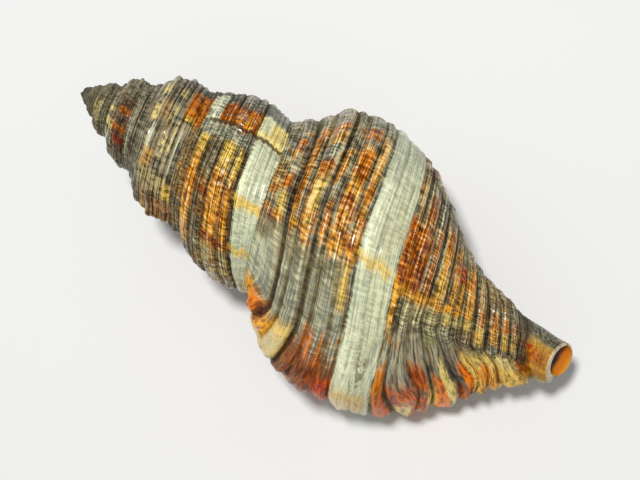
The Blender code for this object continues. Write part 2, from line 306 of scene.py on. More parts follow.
def relief(turn, line):
    # how far the surface lies below (+) the envelope of the cords, in mm, and how high on a cord it is
    at = cordPlace(turn, line)
    crest = cordCrest(turn, at)
    size = grown(turn, 3) / grown(0.0, 3)
    fan = fanned(turn, line)
    varix = np.clip(oldLips(turn) / 1.0, 0.0, 1.0)
    depth = cords["depth"] * size ** 0.8 * (1.0 + 0.9 * fan + 0.5 * varix)
    fineFold = 0.5 + 0.5 * np.cos(tau * at / cords["lipFoldEvery"])
    crest = crest + (0.25 * fineFold - 0.1) * blend(0.05, 0.4, fan) * (1.0 - blend(0.9, 1.0, at) * 0.4)
    smooth = blend(*cords["smoothFrom"], at)
    rise = depth * (1.0 - crest) * (1.0 - smooth)
    thread = 0.5 - 0.5 * np.sin(tau * at / cords["threadEvery"])
    rise = rise + cords["threadHeight"] * size ** 0.5 * thread * (1.0 - fan) * (1.0 - smooth)
    wide, narrow = cords["beadEvery"]
    beads = np.cos(tau * turn / wide + 9.0 * at) * 0.5 + np.cos(tau * turn / narrow + 23.0 * at) * 0.35
    rise = rise + cords["beadHeight"] * size * beads * crest * (1.0 - fan)
    crest = crest * (1.0 - cords["beadShade"] * beads * (1.0 - fan))
    knobby = (1.0 - blend(-2.0, -1.7, turn)) * cords["earlyKnobs"] + cords["knobHeight"]
    knobCord = np.maximum(ridges(at, cords["early"][3:4]), ridges(at, cords["early"][5:6]))
    knobTurn = turn / cords["knobEvery"] + 0.35 * (at > 0.5)
    knob = (0.5 + 0.5 * np.cos(tau * knobTurn)) ** 1.5
    rise = rise - knobby * size * knobCord * (knob - 0.35) * (1.0 - blend(-0.5, -0.3, turn))
    edge = blend(0.0, 0.035, line) * blend(0.0, 0.035, coveredLine(np.minimum(turn + 1.0, 0.0)) - line)
    edge = np.where(turn > -1.0, blend(0.0, 0.035, line), edge)
    crest = np.maximum(crest, 0.7 * blend(2.12, 2.25, at))
    return rise * edge, np.clip(crest, 0.0, 1.0)


def finePoint(turn, line):
    rise, crest = relief(turn, line)
    distance, radius, angle = offsetPoint(turn, np.maximum(line, 0.004), rise)
    plain = shellPoint(turn, line)
    near = line < 0.004
    distance, radius, angle = (np.where(near, p, q) for p, q in zip(plain, (distance, radius, angle)))
    reach = lip["scallop"] * (crest - 0.5) * blend(-0.03, 0.0, turn) * np.clip(line / 0.1, 0.0, 1.0)
    angle = angle + reach / np.maximum(radius, 1.0)
    return place(distance, radius, angle)


def flatSheet(turnFrom, turnTo, columns, rows, halveTo=None):
    # a flat grid: x is the turn, y the share of the rows; sides that meet a finer sheet are split once
    bm = bmesh.new()
    bmesh.ops.create_grid(bm, x_segments=columns, y_segments=rows, size=1.0)
    bmesh.ops.translate(bm, vec=(1.0, 1.0, 0.0), verts=bm.verts)
    bmesh.ops.scale(bm, vec=((turnTo - turnFrom) / 2, 0.5, 1.0), verts=bm.verts)
    bmesh.ops.translate(bm, vec=(turnFrom, 0.0, 0.0), verts=bm.verts)
    if halveTo is not None:
        small = 0.25 / columns
        split = [e for e in bm.edges if all(v.co.x > turnTo - small for v in e.verts)
                 or all(v.co.y > 1.0 - small and v.co.x > halveTo - small for v in e.verts)]
        bmesh.ops.subdivide_edges(bm, edges=split, cuts=1)
    return bm


def sheetMesh(bm, points, maps):
    # the flat sheet moved to its points, with its UV maps by name
    sheet = bpy.data.meshes.new("sheet")
    bm.to_mesh(sheet)
    bm.free()
    corners = np.empty(len(sheet.loops), int)
    sheet.loops.foreach_get("vertex_index", corners)
    for name, pair in maps.items():
        layer = sheet.uv_layers.new(name=name)
        layer.data.foreach_set("uv", np.stack(pair, axis=-1)[corners].ravel())
    sheet.vertices.foreach_set("co", points.ravel())
    return sheet


def carry(bm, lineOf, pointOf):
    # lay a flat sheet on the shell, with its turn and cord place kept as a UV map
    flat = np.array([v.co for v in bm.verts], float)
    turn, share = flat[:, 0], np.clip(flat[:, 1], 0.0, 1.0)
    line = lineOf(turn, share)
    points = pointOf(turn, line)
    own = np.minimum(turn, 0.0)
    _, crest = relief(own, line)
    maps = {"growth": (turn, cordPlace(own, line)), "relief": (crest, fanned(own, line))}
    return sheetMesh(bm, points, maps)


def closeUp(bm):
    # weld the seams, cap the open ends and turn the faces outward
    bmesh.ops.remove_doubles(bm, verts=bm.verts, dist=mesh["weld"])
    loose = [e for e in bm.edges if e.is_boundary]
    ends = bmesh.ops.holes_fill(bm, edges=loose, sides=0)["faces"]
    bmesh.ops.poke(bm, faces=ends)
    bmesh.ops.recalc_face_normals(bm, faces=bm.faces)


def spireLine(turn, share):
    return share * coveredLine(turn + 1.0)


def lastLine(turn, share):
    covered, full = growth["lipCoveredLine"], growth["fullLine"]
    split = mesh["sutureRows"] / (mesh["sutureRows"] + mesh["baseRows"])
    low = share / split * covered
    high = covered + (share - split) / (1.0 - split) * (full - covered)
    return np.where(share <= split, low, high)


def facePoint(turn, line):
    # the face of the mouth: a rolled rim at the edge, then straight over to the whorl before
    outer = finePoint(0.0 * turn, line)
    inner = finePoint(0.0 * turn - 1.0, np.maximum(line, growth["lipCoveredLine"]))
    across = inner - outer
    width = np.linalg.norm(across, axis=-1) / mm
    radius = lip["rimRadius"] * blend(0.0, 6.0, width)
    run = turn ** 1.6
    within = 1.0 - np.clip(run * width / np.maximum(radius, 1e-6), 0.0, 1.0)
    roll = radius * np.sqrt(np.clip(1.0 - within ** 2, 0.0, 1.0)) * (1.0 - blend(0.6, 1.0, run))
    angle = lipEdge(line)[2]
    ahead = np.stack((0.0 * angle, -np.sin(angle), np.cos(angle)), axis=-1)
    return outer + across * run[:, None] + ahead * (roll * mm)[:, None]


def buildOutside():
    # the older whorls are laid with half the steps and rows, and the oldest with a quarter
    steps, rows, first = mesh["turnSteps"], mesh["sutureRows"], growth["firstTurn"]
    whole = bmesh.new()
    parts = (
        (flatSheet(first, -49 / 12, 3 * steps // 4, rows // 4, -61 / 12), spireLine, finePoint),
        (flatSheet(-49 / 12, -25 / 12, steps, rows // 2, -37 / 12), spireLine, finePoint),
        (flatSheet(-25 / 12, -1.0, 13 * steps // 12, rows), spireLine, finePoint),
        (flatSheet(-1.0, 0.0, steps, rows + mesh["baseRows"]), lastLine, finePoint),
        (flatSheet(0.0, 1.0, mesh["faceColumns"], rows + mesh["baseRows"]), lastLine, facePoint),
    )
    for flat, lineOf, pointOf in parts:
        whole.from_mesh(carry(flat, lineOf, pointOf))
    closeUp(whole)
    return whole


def restMove(bm):
    pitched = Matrix.Rotation(radians(pose["pitch"]), 4, "Y")
    turned = pitched @ Matrix.Rotation(radians(pose["roll"]), 4, "X")
    points = np.array([turned @ v.co for v in bm.verts])
    low, high = points.min(axis=0), points.max(axis=0)
    cadLow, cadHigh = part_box("shell")
    middle = Vector((low + high) / 2)
    target = (cadLow + cadHigh) / 2
    shift = Vector((target.x - middle.x, target.y - middle.y, cadHigh.z - high[2]))
    return Matrix.Translation(shift) @ turned


def toObject(bm, name, move):
    bm.transform(move)
    data = bpy.data.meshes.new(name)
    bm.to_mesh(data)
    bm.free()
    data.shade_smooth()
    piece = bpy.data.objects.new(name, data)
    bpy.context.scene.collection.objects.link(piece)
    return piece


def paint(red, green, blue):
    # a paint colour as it is seen, 0 to 255, given as the light it reflects
    seen = np.array((red, green, blue)) / 255.0
    light = np.where(seen <= 0.04045, seen / 12.92, ((seen + 0.055) / 1.055) ** 2.4)
    return (*light.tolist(), 1.0)


colours = {
    "white": paint(208, 214, 180),
    "brightWhite": paint(240, 244, 204),
    "cream": paint(246, 222, 130),
    "creamYellow": paint(244, 200, 78),
    "amber": paint(236, 162, 34),
    "orange": paint(216, 120, 6),
    "rust": paint(160, 68, 0),
    "redBrown": paint(116, 42, 0),
    "red": paint(182, 50, 0),
    "tan": paint(196, 148, 74),
    "ochre": paint(204, 160, 60),
    "greyOlive": paint(138, 130, 98),
    "spireGrey": paint(126, 112, 86),
    "olive": paint(160, 152, 104),
    "paleGrey": paint(172, 174, 148),
    "groove": paint(108, 86, 56),
    "sand": paint(198, 182, 138),
    "glint": paint(255, 240, 178),
    # the lip's colours: lighter copies of the colours above, partly the lip's own colour and partly
    # painted light, as the steep lip gets less of the lamp
    "lipCream": paint(255, 214, 112),
    "lipAmber": paint(255, 176, 30),
    "lipOrange": paint(250, 128, 0),
    "lipRust": paint(196, 84, 0),
    "lipRed": paint(200, 66, 0),
    "lipBrown": paint(140, 84, 42),
    "darkBrown": paint(66, 46, 32),
    "darkGrey": paint(92, 92, 84),
    "purpleBrown": paint(96, 58, 36),
    "purpleGrey": paint(132, 112, 84),
    "ivory": paint(236, 220, 184),
}


def addNode(tree, kind, inputs=None, **settings):
    node = tree.nodes.new("ShaderNode" + kind)
    for key, value in settings.items():
        setattr(node, key, value)
    for key, value in (inputs or {}).items():
        if isinstance(value, bpy.types.NodeSocket):
            tree.links.new(value, node.inputs[key])
        else:
            node.inputs[key].default_value = value
    return node


def newMaterial(name):
    material = bpy.data.materials.new(name)
    material.use_nodes = True
    return material, material.node_tree, material.node_tree.nodes["Principled BSDF"]


def maths(tree, operation, *values):
    return addNode(tree, "Math", dict(enumerate(values)), operation=operation).outputs[0]


def vectorMaths(tree, operation, *values):
    node = addNode(tree, "VectorMath", dict(enumerate(values)), operation=operation)
    return node.outputs["Value" if operation == "DOT_PRODUCT" else "Vector"]


def times(tree, first, second):
    return maths(tree, "MULTIPLY", first, second)


def leftOf(tree, share):
    return maths(tree, "SUBTRACT", 1.0, share)


def nudged(tree, value, noise, amount):
    return maths(tree, "MULTIPLY_ADD", maths(tree, "SUBTRACT", noise, 0.5), amount, value)


def between(tree, share, first, second):
    return maths(tree, "MULTIPLY_ADD", maths(tree, "SUBTRACT", second, first), share, first)


def mapParts(tree, name):
    # the first two parts of a UV map
    apart = addNode(tree, "SeparateXYZ", {0: addNode(tree, "UVMap", uv_map=name).outputs[0]})
    return apart.outputs[0], apart.outputs[1]


def smoothStep(tree, value, low, high, toLow=0.0, toHigh=1.0):
    node = addNode(tree, "MapRange", {"Value": value, "From Min": low, "From Max": high, "To Min": toLow,
                                      "To Max": toHigh}, interpolation_type="SMOOTHSTEP")
    return node.outputs[0]


def mixColour(tree, factor, under, over, blendType="MIX"):
    inputs = {0: factor, 6: under, 7: over}
    return addNode(tree, "Mix", inputs, data_type="RGBA", blend_type=blendType).outputs[2]


def grey(tree, value):
    return addNode(tree, "CombineXYZ", {0: value, 1: value, 2: value}).outputs[0]


def colourRamp(tree, factor, stops):
    node = addNode(tree, "ValToRGB", {"Fac": factor})
    while len(node.color_ramp.elements) < len(stops):
        node.color_ramp.elements.new(0.5)
    for element, (at, colour) in zip(node.color_ramp.elements, stops):
        element.position = at
        element.color = colour
    return node.outputs["Color"]


def stretchedNoise(tree, along, across, scales, seed, detail=2.0, roughness=0.5):
    x, y = times(tree, along, scales[0]), times(tree, across, scales[1])
    spot = addNode(tree, "CombineXYZ", {"X": x, "Y": y, "Z": seed})
    noise = addNode(tree, "TexNoise", {"Vector": spot.outputs[0], "Scale": 1.0, "Detail": detail,
                                       "Roughness": roughness}, noise_dimensions="3D")
    return noise.outputs["Fac"]


def makePatchGroup():
    # a soft-edged field on the growth map, x along the turn and y across the cords
    group = bpy.data.node_groups.new("patch", "ShaderNodeTree")
    for name in ("Place", "Middle", "Half Size", "Soft Edge"):
        group.interface.new_socket(name=name, in_out="INPUT", socket_type="NodeSocketVector")
    for name in ("Strength", "Where"):
        group.interface.new_socket(name=name, in_out="INPUT", socket_type="NodeSocketFloat")
    group.interface.new_socket(name="Mask", in_out="OUTPUT", socket_type="NodeSocketFloat")
    given = group.nodes.new("NodeGroupInput").outputs
    result = group.nodes.new("NodeGroupOutput")
    away = vectorMaths(group, "SUBTRACT", given["Place"], given["Middle"])
    away = vectorMaths(group, "ABSOLUTE", away)
    within = vectorMaths(group, "SUBTRACT", given["Half Size"], away)
    within = vectorMaths(group, "DIVIDE", within, given["Soft Edge"])
    # dot products, as a Separate XYZ here would leave its third output open and overfill the shader
    sides = [vectorMaths(group, "DOT_PRODUCT", within, axis) for axis in ((1, 0, 0), (0, 1, 0))]
    mask = smoothStep(group, maths(group, "MINIMUM", *sides), -1.0, 1.0)
    mask = times(group, times(group, mask, given["Strength"]), given["Where"])
    group.links.new(mask, result.inputs["Mask"])
    return group


patchGroup = makePatchGroup()


def patchMask(tree, place, turns, cordRange, turnEdge, cordEdge, strength=1.0, where=1.0):
    inputs = {
        "Place": place,
        "Middle": ((turns[0] + turns[1]) / 2, (cordRange[0] + cordRange[1]) / 2, 0.0),
        "Half Size": ((turns[1] - turns[0]) / 2, (cordRange[1] - cordRange[0]) / 2, 0.0),
        "Soft Edge": (turnEdge, cordEdge, 1.0), "Strength": strength, "Where": where,
    }
    return addNode(tree, "Group", inputs, node_tree=patchGroup).outputs["Mask"]


# Where the colours lie, in the order they are laid on. Each has its colour and where it shows: all over,
# on the cords, in the grooves, as flecks or as streaks along the cords. Then come the turns and the cords
# that it lies between, its strength, and its soft edge in turns, or in turns and in cords.
markings = (
    # cords on the side turned away
    ("orange flecks", (-1.08, -0.56), (0.18, 0.38), 0.8, 0.04),
    ("amber flecks", (-1.08, -0.56), (0.49, 0.67), 0.8, 0.04),
    ("rust flecks", (-1.1, -0.5), (0.965, 1.15), 0.85, 0.04),
    ("orange flecks", (-1.1, -0.5), (1.25, 2.03), 0.7, (0.04, 0.02)),
    ("cream streaks", (-1.02, -0.6), (0.25, 0.37), 0.4, 0.03),
    ("orange flecks", (-2.0, -1.55), (0.2, 0.66), 0.6, 0.04),
    # the last whorl, behind the lip
    ("greyOlive", (-0.75, -0.475), (-0.1, 0.7), 0.75, 0.02),
    ("greyOlive", (-0.75, -0.43), (1.22, 2.3), 0.7, (0.02, 0.04)),
    ("tan cords", (-0.47, -0.4), (1.25, 1.95), 0.6, (0.02, 0.02)),
    ("rust", (-0.315, -0.275), (-0.1, 0.07), 0.85, (0.012, 0.02)),
    ("tan", (-0.4, -0.36), (-0.1, 0.07), 0.7, (0.012, 0.02)),
    ("orange cords", (-0.455, -0.42), (0.07, 0.15), 0.9, 0.008),
    ("orange cords", (-0.382, -0.355), (0.06, 0.15), 0.9, 0.008),
    ("creamYellow cords", (-0.352, -0.318), (0.07, 0.15), 0.7, 0.008),
    ("rust cords", (-0.318, -0.288), (0.07, 0.15), 0.85, 0.008),
    ("amber cords", (-0.475, -0.3), (0.17, 0.245), 0.95, 0.01),
    ("orange cords", (-0.47, -0.34), (0.17, 0.22), 0.9, 0.01),
    ("rust flecks", (-0.42, -0.35), (0.165, 0.2), 0.6, 0.01),
    ("orange cords", (-0.482, -0.462), (0.25, 0.36), 0.9, 0.005),
    ("amber cords", (-0.465, -0.437), (0.25, 0.37), 0.9, 0.006),
    ("orange cords", (-0.41, -0.387), (0.25, 0.37), 0.85, 0.006),
    ("creamYellow cords", (-0.387, -0.325), (0.26, 0.36), 0.75, 0.008),
    ("rust", (-0.385, -0.31), (0.25, 0.285), 0.75, (0.008, 0.008)),
    ("orange flecks", (-0.345, -0.318), (0.25, 0.37), 0.8, 0.006),
    ("amber cords", (-0.44, -0.4), (0.4, 0.46), 0.85, 0.01),
    ("orange cords", (-0.365, -0.315), (0.4, 0.46), 0.9, 0.01),
    ("orange cords", (-0.492, -0.467), (0.49, 0.59), 0.9, 0.005),
    ("amber cords", (-0.45, -0.315), (0.48, 0.59), 0.85, 0.008),
    ("orange cords", (-0.445, -0.4), (0.48, 0.59), 0.9, 0.006),
    ("rust cords", (-0.418, -0.4), (0.48, 0.59), 0.6, 0.004),
    ("rust flecks", (-0.385, -0.325), (0.48, 0.59), 0.9, 0.01),
    ("amber cords", (-0.475, -0.32), (0.6, 0.675), 0.75, 0.012),
    ("orange cords", (-0.405, -0.385), (0.6, 0.68), 0.85, 0.006),
    ("rust flecks", (-0.37, -0.32), (0.6, 0.69), 0.9, 0.01),
    # red cords below the white band
    ("rust", (-0.405, -0.31), (0.965, 1.025), 0.95, (0.012, 0.008)),
    ("tan cords", (-0.49, -0.405), (0.965, 1.03), 0.6, (0.012, 0.008)),
    ("rust", (-0.4, -0.31), (1.03, 1.15), 0.92, 0.012),
    ("orange cords", (-0.46, -0.405), (1.04, 1.15), 0.85, 0.012),
    ("orange flecks", (-0.405, -0.31), (0.965, 1.15), 0.8, 0.01),
    ("orange cords", (-0.43, -0.3), (1.15, 1.24), 0.75, 0.012),
    ("rust flecks", (-0.345, -0.315), (1.14, 1.24), 0.8, 0.008),
    ("amber cords", (-0.445, -0.28), (1.24, 1.35), 0.85, 0.012),
    ("orange cords", (-0.44, -0.4), (1.24, 1.35), 0.8, 0.01),
    ("creamYellow flecks", (-0.36, -0.325), (1.25, 1.33), 0.7, 0.008),
    ("amber cords", (-0.44, -0.28), (1.36, 1.435), 0.9, 0.012),
    ("orange cords", (-0.42, -0.37), (1.36, 1.435), 0.8, 0.012),
    ("red", (-0.42, -0.38), (1.44, 1.49), 0.85, 0.01),
    ("amber", (-0.38, -0.27), (1.44, 1.49), 0.7, 0.01),
    ("amber cords", (-0.44, -0.26), (1.5, 1.6), 0.9, 0.012),
    ("orange cords", (-0.42, -0.37), (1.5, 1.6), 0.7, 0.012),
    ("tan cords", (-0.42, -0.35), (1.61, 1.73), 0.7, 0.012),
    ("orange cords", (-0.345, -0.295), (1.61, 1.73), 0.85, 0.008),
    ("creamYellow cords", (-0.298, -0.235), (1.63, 1.73), 0.85, 0.01),
    ("orange cords", (-0.37, -0.3), (1.75, 1.86), 0.85, 0.012),
    ("amber cords", (-0.31, -0.25), (1.75, 1.86), 0.85, 0.012),
    ("orange cords", (-0.38, -0.31), (1.86, 1.95), 0.9, 0.012),
    ("creamYellow cords", (-0.31, -0.245), (1.86, 1.95), 0.8, 0.012),
    ("rust cords", (-0.385, -0.335), (1.96, 2.04), 0.8, 0.012),
    ("ochre cords", (-0.335, -0.26), (1.96, 2.04), 0.8, 0.012),
    # canal
    ("darkGrey", (-0.75, -0.38), (2.03, 2.75), 0.6, (0.02, 0.03)),
    ("ochre", (-0.385, -0.32), (2.18, 2.75), 0.85, (0.012, 0.04)),
    ("amber", (-0.35, -0.19), (2.14, 2.75), 0.85, (0.02, 0.04)),
    ("orange", (-0.31, -0.215), (2.14, 2.58), 0.8, (0.02, 0.05)),
    ("groove flecks", (-0.36, -0.15), (2.12, 2.75), 0.55, (0.03, 0.05)),
    ("rust flecks", (-0.3, -0.245), (2.14, 2.42), 0.85, (0.015, 0.05)),
    ("amber", (-0.205, -0.09), (2.02, 2.75), 0.9, (0.025, 0.05)),
    ("cream", (-0.09, 0.3), (1.95, 2.75), 0.75, (0.03, 0.06)),
    ("purpleGrey", (-0.45, -0.2), (2.04, 2.13), 0.7, (0.03, 0.03)),
    ("purpleBrown", (-0.24, -0.195), (1.85, 2.2), 0.75, (0.012, 0.03)),
    ("red flecks", (-0.335, -0.295), (2.1, 2.26), 0.8, (0.012, 0.03)),
    ("rust", (-0.19, -0.15), (2.0, 2.18), 0.8, (0.012, 0.03)),
    ("ivory", (-1.1, 0.5), (2.63, 3.0), 0.95, (0.02, 0.008)),
    # growth band behind the lip
    ("greyOlive", (-0.305, -0.2), (-0.1, 0.665), 0.9, 0.008),
    ("paleGrey cords", (-0.285, -0.2), (0.08, 0.665), 0.8, (0.015, 0.02)),
    ("white", (-0.27, -0.165), (-0.1, 0.085), 0.75, (0.015, 0.015)),
    ("creamYellow cords", (-0.305, -0.262), (0.58, 0.665), 0.75, 0.008),
    ("darkBrown grooves", (-0.3, -0.17), (0.08, 0.665), 0.6, (0.01, 0.02)),
    ("olive", (-0.305, -0.25), (0.95, 1.62), 0.85, 0.008),
    ("amber", (-0.31, -0.26), (0.965, 1.01), 0.9, (0.008, 0.008)),
    ("amber cords", (-0.325, -0.312), (-0.1, 0.7), 0.8, 0.006),
    ("amber", (-0.318, -0.303), (0.95, 1.5), 0.8, 0.006),
    ("creamYellow cords", (-0.3, -0.255), (1.36, 1.62), 0.6, 0.01),
    # the lip
    ("purpleGrey", (-0.275, -0.13), (1.02, 1.62), 0.9, (0.01, 0.02)),
    ("paleGrey streaks", (-0.275, -0.15), (1.02, 1.45), 0.75, (0.015, 0.02)),
    ("olive", (-0.28, -0.235), (1.22, 1.34), 0.8, 0.008),
    ("lipAmber", (-0.19, 0.13), (-0.1, 0.25), 0.97, 0.018),
    ("lipOrange", (-0.18, 0.13), (0.09, 0.16), 0.9, 0.018),
    ("redBrown", (-0.205, 0.13), (0.155, 0.185), 0.85, (0.015, 0.006)),
    ("lipCream", (-0.205, 0.13), (0.255, 0.37), 0.97, (0.012, 0.012)),
    ("glint", (-0.175, -0.11), (0.27, 0.355), 0.6, (0.015, 0.02)),
    ("lipBrown", (-0.19, 0.13), (0.375, 0.695), 0.9, (0.015, 0.012)),
    ("rust streaks", (-0.21, -0.09), (0.43, 0.61), 0.95, (0.015, 0.02)),
    ("lipOrange streaks", (-0.22, -0.175), (0.44, 0.62), 0.85, (0.012, 0.02)),
    ("lipRed", (-0.155, 0.13), (0.6, 0.69), 0.95, 0.01),
    ("orange", (-0.205, -0.04), (0.972, 1.025), 0.95, (0.015, 0.006)),
    ("lipRust", (-0.14, -0.04), (0.985, 1.02), 0.8, (0.015, 0.008)),
    ("lipRed streaks", (-0.165, 0.13), (1.04, 1.2), 0.95, 0.02),
    ("lipOrange flecks", (-0.15, 0.13), (1.04, 1.2), 0.7, 0.02),
    ("lipRust", (-0.2, -0.14), (1.14, 1.2), 0.9, (0.015, 0.008)),
    ("cream", (-0.1, 0.13), (1.035, 1.085), 0.9, (0.012, 0.008)),
    ("lipCream", (-0.125, 0.13), (1.2, 1.26), 0.85, 0.02),
    ("lipOrange", (-0.165, 0.13), (1.25, 1.3), 0.9, 0.02),
    ("cream", (-0.205, 0.13), (1.295, 1.335), 0.97, (0.02, 0.006)),
    ("darkGrey", (-0.24, -0.1), (1.345, 1.4), 0.8, 0.02),
    ("lipRust", (-0.1, 0.13), (1.34, 1.39), 0.8, 0.02),
    ("lipOrange", (-0.18, 0.13), (1.4, 1.45), 0.9, (0.02, 0.008)),
    ("lipCream", (-0.205, 0.13), (1.455, 2.0), 0.95, (0.015, 0.015)),
    ("cream", (-0.215, -0.15), (1.55, 1.98), 0.5, (0.012, 0.02)),
    ("white streaks", (-0.215, -0.17), (1.8, 2.0), 0.5, (0.012, 0.03)),
    ("lipRust streaks", (-0.14, -0.07), (1.53, 1.66), 0.9, (0.012, 0.015)),
    ("lipOrange streaks", (-0.165, -0.08), (1.5, 1.78), 0.9, (0.012, 0.02)),
    ("redBrown streaks", (-0.08, 0.13), (1.44, 1.6), 0.8, (0.015, 0.02)),
    ("darkBrown grooves", (-0.2, 0.1), (-0.1, 0.69), 0.75, (0.02, 0.02)),
    ("darkBrown grooves", (-0.2, 0.1), (0.96, 2.0), 0.6, (0.02, 0.02)),
    # the white band of every whorl
    ("white", (-1.6, 0.13), (0.69, 0.955), 0.97, (0.01, 0.008)),
    ("paleGrey streaks", (-0.56, -0.33), (0.7, 0.95), 0.75, 0.02),
    ("groove grooves", (-0.56, -0.16), (0.69, 0.95), 0.6, (0.02, 0.008)),
    ("cream streaks", (-0.44, -0.2), (0.79, 0.95), 0.2, (0.03, 0.02)),
    ("brightWhite cords", (-0.42, -0.33), (0.71, 0.79), 0.9, 0.01),
    ("brightWhite", (-0.21, -0.12), (0.7, 0.96), 0.8, 0.02),
    ("creamYellow", (-0.328, -0.318), (0.68, 0.92), 0.75, 0.006),
    ("greyOlive flecks", (-0.215, -0.16), (0.8, 0.88), 0.85, (0.015, 0.02)),
    # the end of the white band painted brighter: its own white, and painted light where its edge faces
    # down away from the lamp
    ("brightWhite", (-0.25, 0.13), (0.7, 0.795), 0.85, 0.03),
    ("brightWhite", (-0.22, 0.13), (0.89, 0.95), 0.6, 0.03),
    ("lipCream", (-0.145, -0.06), (0.7, 0.93), 0.75, (0.015, 0.02)),
    ("lipAmber streaks", (-0.13, -0.08), (0.72, 0.92), 0.6, (0.01, 0.02)),
    # the whorl before
    ("groove", (-1.75, -1.0), (-0.1, 0.685), 0.6, (0.02, 0.008)),
    ("darkGrey", (-1.62, -1.475), (-0.1, 1.1), 0.85, (0.008, 0.02)),
    ("orange", (-1.49, -1.385), (-0.1, 0.16), 0.9, (0.006, 0.02)),
    ("rust flecks", (-1.45, -1.41), (0.0, 0.14), 0.6, (0.01, 0.02)),
    ("brightWhite", (-1.51, -1.405), (0.165, 0.285), 0.97, (0.008, 0.015)),
    ("orange", (-1.475, -1.413), (0.29, 0.67), 0.95, 0.005),
    ("amber flecks", (-1.45, -1.413), (0.44, 0.66), 0.6, (0.01, 0.02)),
    ("rust", (-1.475, -1.418), (0.3, 0.42), 0.8, (0.006, 0.015)),
    ("redBrown cords", (-1.482, -1.463), (0.29, 0.66), 0.9, 0.005),
    ("cream", (-1.475, -1.413), (0.68, 1.1), 0.9, 0.006),
    ("brightWhite", (-1.48, -1.425), (0.69, 0.8), 0.8, (0.006, 0.02)),
    ("paleGrey", (-1.41, -1.38), (0.17, 1.1), 0.85, 0.005),
    ("tan flecks", (-1.385, -1.24), (-0.1, 0.15), 0.7, (0.01, 0.02)),
    ("creamYellow cords", (-1.38, -1.345), (0.2, 0.3), 0.9, 0.008),
    ("amber cords", (-1.345, -1.16), (0.19, 0.3), 0.9, 0.01),
    ("orange flecks", (-1.31, -1.24), (0.19, 0.3), 0.8, 0.01),
    ("creamYellow cords", (-1.38, -1.325), (0.43, 0.655), 0.9, (0.006, 0.008)),
    ("amber cords", (-1.33, -1.2), (0.43, 0.66), 0.95, (0.008, 0.008)),
    ("rust flecks", (-1.322, -1.302), (0.43, 0.64), 0.85, (0.006, 0.008)),
    ("orange flecks", (-1.3, -1.24), (0.43, 0.66), 0.7, (0.01, 0.02)),
    ("rust", (-1.228, -1.208), (0.43, 0.66), 0.85, (0.006, 0.008)),
    ("rust", (-1.29, -1.275), (0.33, 0.44), 0.7, 0.005),
    ("white", (-1.405, -1.0), (0.69, 1.1), 0.95, (0.006, 0.008)),
    ("brightWhite", (-1.4, -1.31), (0.69, 0.78), 0.7, 0.01),
    ("creamYellow", (-1.308, -1.29), (0.66, 1.1), 0.8, 0.005),
    ("creamYellow", (-1.222, -1.208), (0.66, 1.1), 0.8, 0.004),
    ("cream flecks", (-1.2, -1.12), (0.4, 0.66), 0.5, (0.01, 0.02)),
    # the spire
    ("spireGrey", (-7.5, -1.8), (-0.1, 1.3), 0.92, (0.06, 0.02)),
    ("groove flecks", (-7.5, -1.8), (-0.1, 1.3), 0.6, (0.06, 0.02)),
    ("paleGrey streaks", (-7.5, -1.8), (-0.1, 1.3), 0.45, (0.06, 0.02)),
    ("cream", (-2.468, -2.442), (0.29, 0.41), 0.85, (0.006, 0.02)),
    ("cream", (-2.4, -2.36), (0.29, 0.41), 0.85, (0.006, 0.02)),
    ("white", (-2.345, -2.29), (0.395, 0.455), 0.9, (0.006, 0.02)),
    ("cream", (-2.468, -2.442), (0.59, 0.7), 0.85, (0.006, 0.02)),
    ("cream flecks", (-2.41, -2.36), (0.6, 0.7), 0.7, (0.006, 0.02)),
    ("cream flecks", (-2.345, -2.29), (0.62, 0.72), 0.8, (0.006, 0.02)),
    ("cream flecks", (-2.38, -2.3), (0.77, 0.82), 0.7, 0.008),
    ("tan", (-2.295, -2.25), (0.4, 0.6), 0.75, (0.01, 0.03)),
    ("tan", (-2.43, -2.37), (0.43, 0.58), 0.4, (0.01, 0.03)),
    ("cream streaks", (-2.255, -2.195), (0.42, 0.9), 0.5, (0.008, 0.03)),
    ("creamYellow", (-2.235, -2.195), (0.87, 1.0), 0.8, (0.008, 0.02)),
    ("tan", (-2.19, -2.12), (0.45, 1.1), 0.7, (0.01, 0.04)),
    ("rust flecks", (-2.185, -2.13), (0.66, 1.0), 0.7, (0.01, 0.03)),
    ("white", (-2.36, -2.265), (0.885, 0.925), 0.85, 0.01),
    ("orange", (-2.49, -2.39), (0.81, 1.3), 0.95, 0.005),
    ("rust streaks", (-2.47, -2.42), (0.8, 1.3), 0.8, (0.008, 0.03)),
    ("creamYellow", (-2.405, -2.388), (0.83, 1.3), 0.85, 0.004),
    ("darkBrown", (-2.39, -2.384), (0.8, 1.3), 0.8, 0.002),
    ("darkBrown", (-2.49, -2.385), (0.795, 0.812), 0.7, (0.004, 0.006)),
    ("purpleBrown", (-3.4, -3.18), (0.45, 0.9), 0.7, (0.02, 0.05)),
    ("orange", (-3.355, -3.335), (0.5, 0.85), 0.9, (0.006, 0.04)),
    ("orange", (-3.29, -3.27), (0.45, 0.85), 0.9, (0.006, 0.04)),
    ("red", (-3.25, -3.225), (0.55, 0.9), 0.8, (0.006, 0.04)),
    ("cream", (-3.345, -3.325), (0.12, 0.42), 0.9, (0.007, 0.04)),
    ("cream", (-3.29, -3.25), (0.12, 0.45), 0.95, (0.007, 0.04)),
    ("white", (-3.225, -3.19), (0.12, 0.5), 0.9, (0.007, 0.04)),
    ("white", (-3.5, -3.0), (0.94, 1.1), 0.55, 0.02),
    ("cream flecks", (-4.35, -4.2), (0.2, 0.7), 0.6, (0.02, 0.05)),
)
usualCordEdge = 0.01


